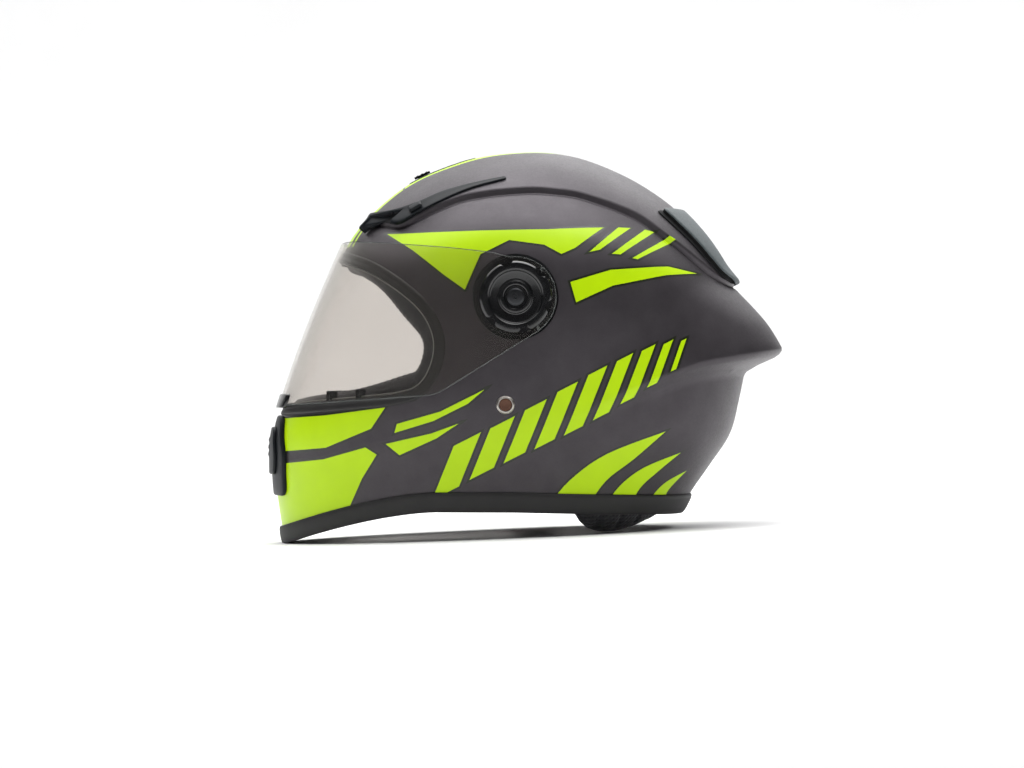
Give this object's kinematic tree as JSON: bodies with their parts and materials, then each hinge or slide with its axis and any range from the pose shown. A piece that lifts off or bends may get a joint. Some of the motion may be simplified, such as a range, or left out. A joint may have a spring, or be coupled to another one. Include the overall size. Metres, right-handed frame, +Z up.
{
  "type": "full face helmet",
  "caption": "Full face helmet with a clear visor on turning side pivots, chin, brow and crown vents that slide, a rear vent cover, padded lining and a buckled chin strap.",
  "frame": {"origin": "middle of the bounding box on the plane that the helmet stands on, under the head", "axes": "+Y from the face towards the back of the head, +Z up, +X the wearer's left"},
  "size_m": [0.2628, 0.343, 0.2501],
  "materials": {
    "shell_paint": "clear-coated moulded shell, gunmetal with neon panels",
    "edge_rubber": "soft black rubber",
    "foam": "expanded bead foam, off-white",
    "lining_cloth": "brushed knit over foam, dark grey",
    "mesh_cloth": "ribbed spacer mesh over foam, dark grey",
    "vent_plastic": "fine-textured blue-black plastic",
    "smoked_plastic": "smoked, half clear",
    "knob_plastic": "polished black",
    "clear_lens": "clear, hard-coated polycarbonate",
    "bearing_plastic": "black nylon",
    "steel": "zinc-plated",
    "rivet_metal": "turned, bright",
    "core_metal": "browned copper colour",
    "webbing": "woven polyester webbing, black",
    "release_red": "red release lever"
  },
  "bodies": {
    "helmet": {"outer_shell": "shell_paint", "lower_edge_trim": "edge_rubber", "eye_port_gasket": "edge_rubber", "eps_liner": "foam", "chin_eps": "foam", "comfort_liner": "lining_cloth", "cheek_pad_left": "lining_cloth", "cheek_pad_right": "lining_cloth", "neck_roll": "mesh_cloth", "breath_deflector": "lining_cloth", "chin_vent_housing": "vent_plastic", "chin_vent_grille": "bearing_plastic", "brow_vent_left": "vent_plastic", "brow_vent_right": "vent_plastic", "crown_vent_cover": "vent_plastic", "rear_vent_cover": "smoked_plastic", "pivot_base_left": "bearing_plastic", "pivot_base_right": "bearing_plastic", "pivot_screw_left": "steel", "pivot_screw_right": "steel", "base_screws": "steel", "strap_rivet_left": "rivet_metal", "strap_rivet_right": "rivet_metal", "rivet_cores": "core_metal", "strap_washers": "steel", "strap_left": "webbing", "strap_right": "webbing", "strap_sleeve_left": "lining_cloth", "strap_sleeve_right": "lining_cloth", "buckle_body": "bearing_plastic", "buckle_pin": "steel", "buckle_tongue": "bearing_plastic"},
    "visor": {"visor_lens": "clear_lens", "visor_hub_left": "bearing_plastic", "visor_hub_right": "bearing_plastic", "visor_tab": "vent_plastic"},
    "knob_left": {"pivot_knob_left": "knob_plastic"},
    "knob_right": {"pivot_knob_right": "knob_plastic"},
    "chin_shutter": {"chin_vent_shutter": "vent_plastic"},
    "brow_left": {"brow_slider_left": "vent_plastic"},
    "brow_right": {"brow_slider_right": "vent_plastic"},
    "crown_slide": {"crown_slider": "vent_plastic"},
    "release_lever": {"buckle_lever": "release_red"}
  },
  "joints": [
    {"name": "visor_hinge", "type": "hinge", "parent": "helmet", "child": "visor", "pos_m": [0, -0.0039, 0.15321], "axis": [-1, 0, 0], "range_deg": [0, 52]},
    {"name": "knob_turn_left", "type": "hinge", "parent": "helmet", "child": "knob_left", "pos_m": [0, -0.0039, 0.15321], "axis": [1, 0, 0], "range_deg": [0, 60]},
    {"name": "knob_turn_right", "type": "hinge", "parent": "helmet", "child": "knob_right", "pos_m": [0, -0.0039, 0.15321], "axis": [-1, 0, 0], "range_deg": [0, 60]},
    {"name": "chin_vent_slide", "type": "slide", "parent": "helmet", "child": "chin_shutter", "axis": [0, -0.1628, -0.9867], "range_m": [0, 0.005]},
    {"name": "brow_vent_slide_left", "type": "slide", "parent": "helmet", "child": "brow_left", "axis": [0.1064, 0.8879, 0.4475], "range_m": [0, 0.006]},
    {"name": "brow_vent_slide_right", "type": "slide", "parent": "helmet", "child": "brow_right", "axis": [-0.1064, 0.8879, 0.4475], "range_m": [0, 0.006]},
    {"name": "crown_vent_slide", "type": "slide", "parent": "helmet", "child": "crown_slide", "axis": [0, 0.9279, 0.3728], "range_m": [0, 0.006]},
    {"name": "strap_release", "type": "hinge", "parent": "helmet", "child": "release_lever", "pos_m": [-0.038, -0.01589, 0.01829], "axis": [0, 0.9991, -0.0414], "range_deg": [0, 20], "stiffness_Nm_per_rad": 0.02}
  ]
}
